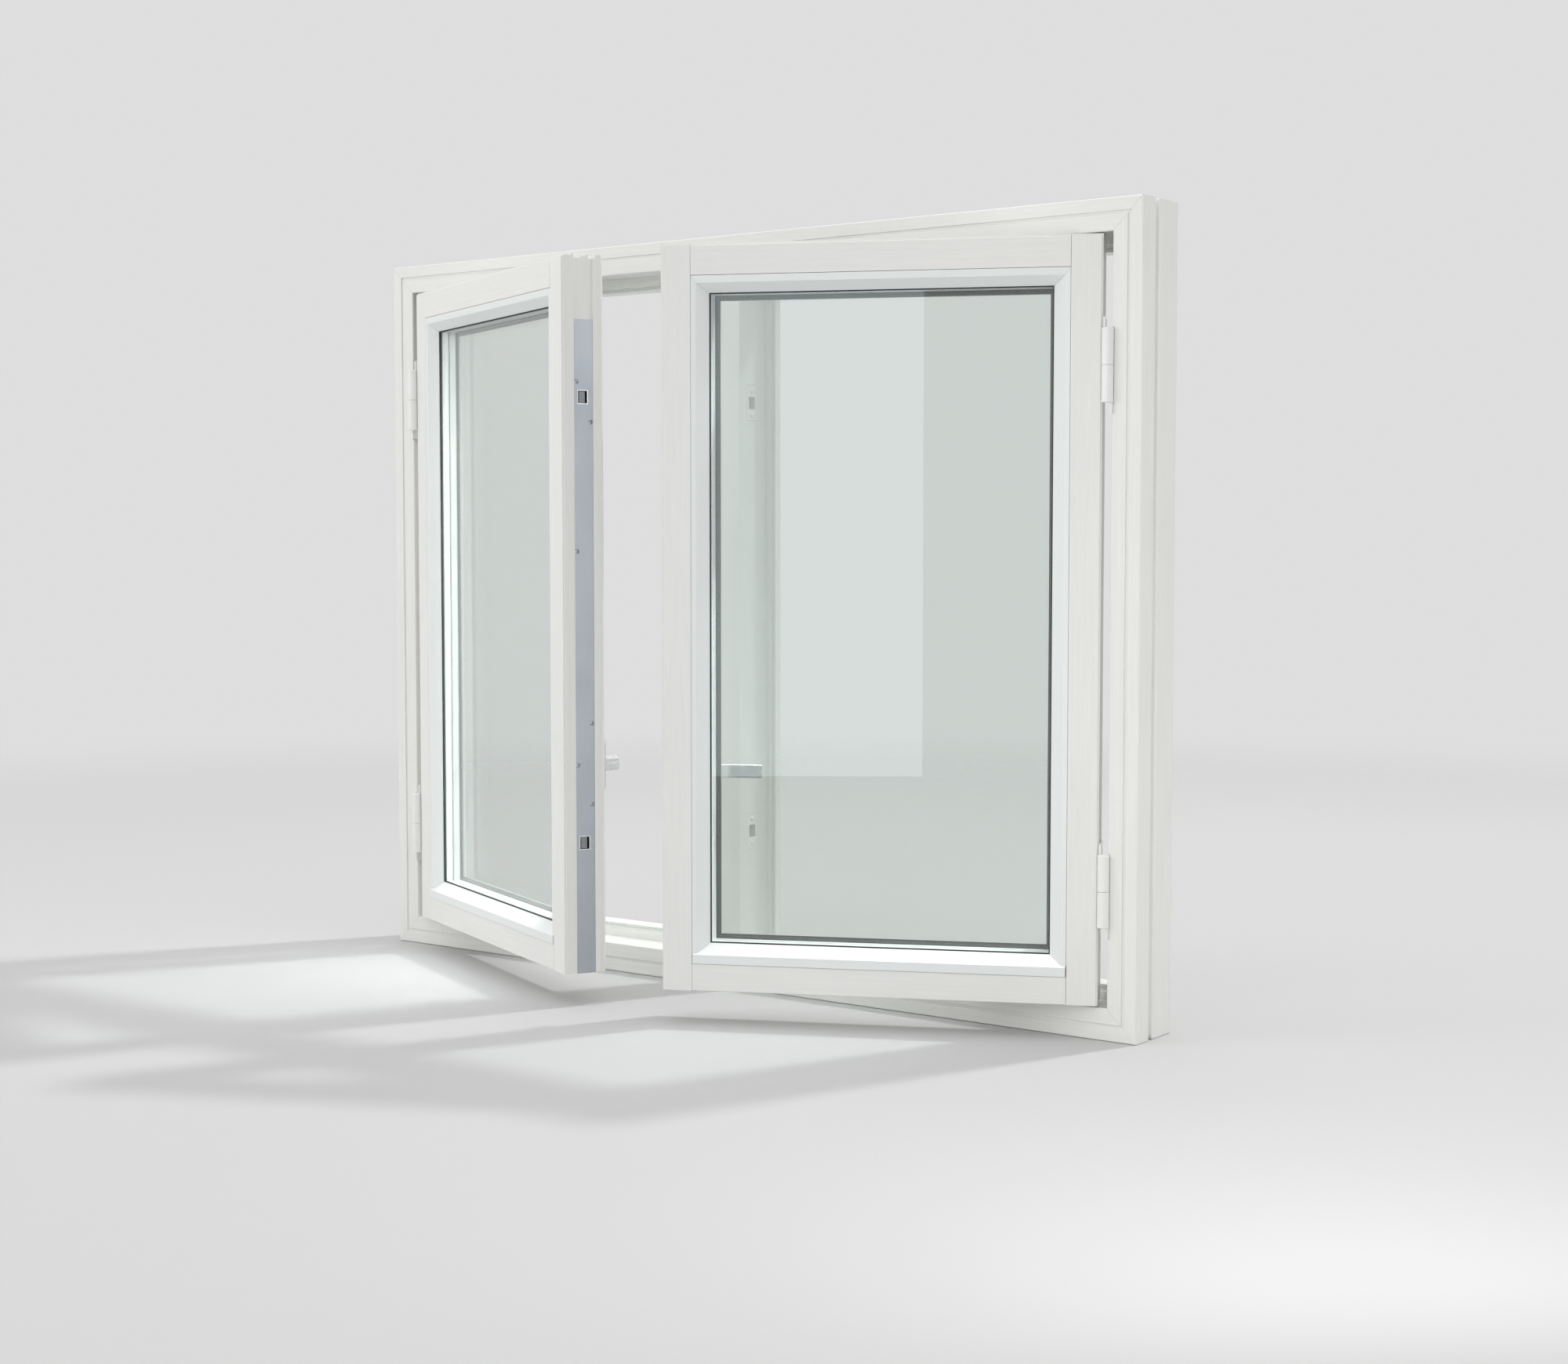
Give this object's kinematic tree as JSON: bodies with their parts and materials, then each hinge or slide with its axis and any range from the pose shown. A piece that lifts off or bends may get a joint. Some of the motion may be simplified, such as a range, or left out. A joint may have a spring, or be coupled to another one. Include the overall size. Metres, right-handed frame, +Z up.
{
  "type": "casement window",
  "caption": "White timber two-light casement window: mitred frame with mullion, two outward-opening sashes, triple glazing, barrel hinges, sliding-bolt locks and lever handles.",
  "frame": {"origin": "middle of the sill's underside: half-way along the width and through the depth", "axes": "+X to the right seen from outside, +Y into the building, +Z up"},
  "size_m": [1.218, 0.3152, 0.988],
  "materials": {
    "white_paint": "painted, satin",
    "hinge_paint": "gloss",
    "bead_paint": "powder-coated aluminium, cool white",
    "glass": "clear, slightly green",
    "spacer_metal": "satin",
    "black_rubber": "matt",
    "plate_steel": "zinc plated, blue-grey",
    "lock_steel": "zinc plated",
    "handle_metal": "satin"
  },
  "bodies": {
    "frame": {"frame_head": "white_paint", "frame_jamb_left": "white_paint", "frame_jamb_right": "white_paint", "frame_sill": "white_paint", "hinge_left_lower_frame_leaf": "hinge_paint", "hinge_left_upper_frame_leaf": "hinge_paint", "hinge_right_lower_frame_leaf": "hinge_paint", "hinge_right_upper_frame_leaf": "hinge_paint", "keeper_left_lower": "hinge_paint", "keeper_left_upper": "hinge_paint", "keeper_right_lower": "hinge_paint", "keeper_right_upper": "hinge_paint", "mullion": "white_paint"},
    "left_sash": {"left_bead_bottom": "bead_paint", "left_bead_hinge": "bead_paint", "left_bead_meeting": "bead_paint", "left_bead_top": "bead_paint", "left_faceplate": "plate_steel", "left_gasket_outer": "black_rubber", "left_gearbox": "lock_steel", "left_handle_rose": "handle_metal", "left_pane_inner": "glass", "left_pane_middle": "glass", "left_pane_outer": "glass", "left_rail_bottom": "white_paint", "left_rail_top": "white_paint", "left_spacer_inner": "spacer_metal", "left_spacer_outer": "spacer_metal", "left_stile_hinge": "white_paint", "left_stile_meeting": "white_paint", "hinge_left_lower_sash_leaf": "hinge_paint", "hinge_left_upper_sash_leaf": "hinge_paint"},
    "left_handle": {"left_handle": "handle_metal"},
    "left_rod": {"left_drive_rod": "lock_steel"},
    "left_bolts": {"left_bolt_lower": "lock_steel", "left_bolt_upper": "lock_steel"},
    "right_sash": {"right_bead_bottom": "bead_paint", "right_bead_hinge": "bead_paint", "right_bead_meeting": "bead_paint", "right_bead_top": "bead_paint", "right_faceplate": "plate_steel", "right_gasket_outer": "black_rubber", "right_gearbox": "lock_steel", "right_handle_rose": "handle_metal", "right_pane_inner": "glass", "right_pane_middle": "glass", "right_pane_outer": "glass", "right_rail_bottom": "white_paint", "right_rail_top": "white_paint", "right_spacer_inner": "spacer_metal", "right_spacer_outer": "spacer_metal", "right_stile_hinge": "white_paint", "right_stile_meeting": "white_paint", "hinge_right_lower_sash_leaf": "hinge_paint", "hinge_right_upper_sash_leaf": "hinge_paint"},
    "right_handle": {"right_handle": "handle_metal"},
    "right_rod": {"right_drive_rod": "lock_steel"},
    "right_bolts": {"right_bolt_lower": "lock_steel", "right_bolt_upper": "lock_steel"}
  },
  "joints": [
    {"name": "left_sash_hinge", "type": "hinge", "parent": "frame", "child": "left_sash", "pos_m": [-0.5667, -0.04825, 0.494], "axis": [0, 0, -1], "range_deg": [-25, 65]},
    {"name": "left_handle_turn", "type": "hinge", "parent": "left_sash", "child": "left_handle", "pos_m": [-0.08244, -0.20753, 0.3045], "axis": [-0.4226, -0.9063, 0], "range_deg": [0, 90]},
    {"name": "left_rod_slide", "type": "slide", "parent": "left_sash", "child": "left_rod", "axis": [0, 0, -1], "range_m": [0, 0.0181]},
    {"name": "left_bolt_slide", "type": "slide", "parent": "left_sash", "child": "left_bolts", "axis": [0.9063, -0.4226, 0], "range_m": [0, 0.0131]},
    {"name": "right_sash_hinge", "type": "hinge", "parent": "frame", "child": "right_sash", "pos_m": [0.5667, -0.04825, 0.494], "axis": [0, 0, 1], "range_deg": [-25, 65]},
    {"name": "right_handle_turn", "type": "hinge", "parent": "right_sash", "child": "right_handle", "pos_m": [0.08244, -0.20753, 0.3045], "axis": [-0.4226, 0.9063, 0], "range_deg": [0, 90]},
    {"name": "right_rod_slide", "type": "slide", "parent": "right_sash", "child": "right_rod", "axis": [0, 0, -1], "range_m": [0, 0.0181]},
    {"name": "right_bolt_slide", "type": "slide", "parent": "right_sash", "child": "right_bolts", "axis": [-0.9063, -0.4226, 0], "range_m": [0, 0.0131]}
  ],
  "couplings": [
    {"joint": "left_rod_slide", "follows": "left_handle_turn", "m_per_rad": 0.011459},
    {"joint": "left_bolt_slide", "follows": "left_handle_turn", "m_per_rad": 0.008276},
    {"joint": "right_rod_slide", "follows": "right_handle_turn", "m_per_rad": 0.011459},
    {"joint": "right_bolt_slide", "follows": "right_handle_turn", "m_per_rad": 0.008276}
  ]
}
